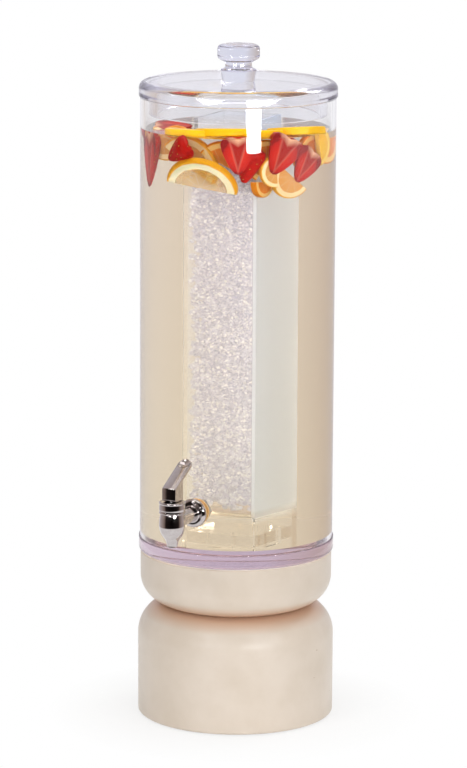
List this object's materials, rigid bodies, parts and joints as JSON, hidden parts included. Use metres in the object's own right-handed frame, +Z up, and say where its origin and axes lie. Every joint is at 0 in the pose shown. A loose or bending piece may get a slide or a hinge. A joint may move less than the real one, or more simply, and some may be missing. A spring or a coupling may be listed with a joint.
{
  "type": "beverage dispenser",
  "caption": "Tall clear acrylic drink dispenser with a square ice tube inside, a knobbed lid, a chrome lever spigot low on the wall and a two-tier cream base.",
  "frame": {"origin": "on the tank's axis at the surface that the dispenser stands on", "axes": "+Z up, the spigot points to -Y, +X to the right of someone facing the spigot"},
  "size_m": [0.207, 0.2724, 0.7115],
  "materials": {
    "base_lacquer": "cream satin lacquer on turned wood",
    "foot_rubber": "matte dark rubber",
    "dowel_wood": "plain beech",
    "fixing_steel": "plain stainless steel",
    "insert_brass": "plain brass",
    "cushion_silicone": "translucent silicone",
    "acrylic": "clear polished acrylic",
    "washer_silicone": "amber silicone",
    "spigot_chrome": "polished chrome plate",
    "plug_silicone": "white silicone"
  },
  "bodies": {
    "base": {"base_drum": "base_lacquer", "base_foot": "foot_rubber", "base_collar": "base_lacquer", "base_dowels": "dowel_wood", "bolt_washer": "fixing_steel", "base_bolt": "fixing_steel", "base_insert": "insert_brass", "seat_ring": "cushion_silicone"},
    "tank": {"tank_locator": "acrylic", "tank_floor": "acrylic", "tank_tube": "acrylic", "ice_key": "acrylic", "spigot_shank": "spigot_chrome", "outer_washer": "washer_silicone", "inner_washer": "washer_silicone", "shank_nut": "spigot_chrome", "spigot_body": "spigot_chrome", "spigot_bonnet": "spigot_chrome", "return_spring": "fixing_steel"},
    "ice": {"ice_tube": "acrylic", "ice_tube_floor": "acrylic"},
    "lid": {"lid_disc": "acrylic", "lid_ring": "acrylic", "lid_knob": "acrylic"},
    "stem": {"valve_stem": "fixing_steel", "valve_plug": "plug_silicone"},
    "lever": {"lever": "spigot_chrome", "lever_pin": "fixing_steel"}
  },
  "joints": [
    {"name": "tank_lift", "type": "slide", "parent": "base", "child": "tank", "axis": [0, 0, 1], "range_m": [0, 0.06]},
    {"name": "ice_lift", "type": "slide", "parent": "tank", "child": "ice", "axis": [0, 0, 1], "range_m": [0, 0.47]},
    {"name": "lid_lift", "type": "slide", "parent": "ice", "child": "lid", "axis": [0, 0, 1], "range_m": [0, 0.12]},
    {"name": "stem_lift", "type": "slide", "parent": "tank", "child": "stem", "axis": [0, 0, 1], "range_m": [0, 0.0039], "stiffness_N_per_m": 1500, "springref_m": -0.003, "deforming": ["return_spring"]},
    {"name": "lever_tilt", "type": "hinge", "parent": "stem", "child": "lever", "pos_m": [0, -0.1552, 0.2667], "axis": [1, 0, 0], "range_deg": [0, 46]}
  ],
  "couplings": [
    {"joint": "lever_tilt", "follows": "stem_lift", "rad_per_m": 200}
  ]
}
